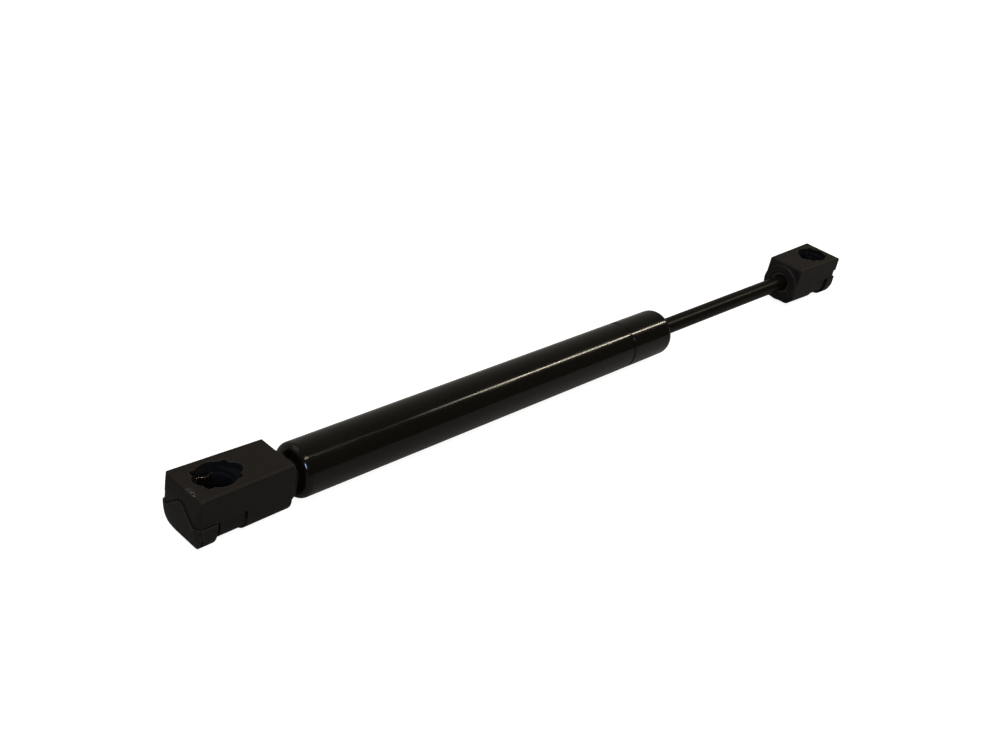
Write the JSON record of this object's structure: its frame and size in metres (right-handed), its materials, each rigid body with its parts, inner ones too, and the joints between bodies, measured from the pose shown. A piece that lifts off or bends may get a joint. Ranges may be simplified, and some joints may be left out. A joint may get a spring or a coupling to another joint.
{
  "type": "gas strut stay",
  "caption": "Gas strut stay: black pressure tube, sliding piston rod and a quick-release ball socket on each end, with both mouths facing the same way.",
  "frame": {"origin": "centre of the ball in the tube-side socket, on the strut's axis", "axes": "+X along the strut from the tube-side socket to the rod-side socket; +Z out of the mouths of both ball sockets; +Y completes the right hand. Metres, stored fully extended"},
  "size_m": [0.4298, 0.0234, 0.024],
  "materials": {
    "tube_paint": "gloss black paint",
    "rod_finish": "black nitrided, satin",
    "socket_plastic": "matte black moulded nylon",
    "saddle_plastic": "matte black moulded nylon",
    "spring_steel": "blued, glossy",
    "plated_steel": "zinc plated",
    "seal_rubber": "matte",
    "sintered_iron": "matte, oily",
    "guide_brass": "turned",
    "glide_ptfe": "waxy"
  },
  "bodies": {
    "barrel": {"pressure_tube": "tube_paint", "end_plug": "plated_steel", "plug_o_ring": "seal_rubber", "support_washer": "plated_steel", "rod_seal": "seal_rubber", "guide_bush": "guide_brass", "guide_o_ring": "seal_rubber", "wiper_disc": "seal_rubber", "tube_socket_housing": "socket_plastic", "tube_socket_insert": "plated_steel"},
    "glide": {"piston_ring": "glide_ptfe"},
    "rod": {"piston_rod": "rod_finish", "piston_washer": "plated_steel", "piston_body": "sintered_iron", "valve_disc": "spring_steel", "rod_socket_housing": "socket_plastic", "rod_socket_insert": "plated_steel"},
    "tube_release": {"tube_socket_saddle": "saddle_plastic", "tube_socket_spring": "spring_steel"},
    "rod_release": {"rod_socket_saddle": "saddle_plastic", "rod_socket_spring": "spring_steel"}
  },
  "joints": [
    {"name": "rod_slide", "type": "slide", "parent": "barrel", "child": "glide", "axis": [1, 0, 0], "range_m": [-0.105, 0], "stiffness_N_per_m": 1430},
    {"name": "rod_spin", "type": "hinge", "parent": "glide", "child": "rod", "pos_m": [0.2, 0, 0], "axis": [1, 0, 0], "continuous": true},
    {"name": "tube_release_slide", "type": "slide", "parent": "barrel", "child": "tube_release", "axis": [-1, 0, 0], "range_m": [0, 0.0045]},
    {"name": "rod_release_slide", "type": "slide", "parent": "rod", "child": "rod_release", "axis": [1, 0, 0], "range_m": [0, 0.0045]}
  ]
}
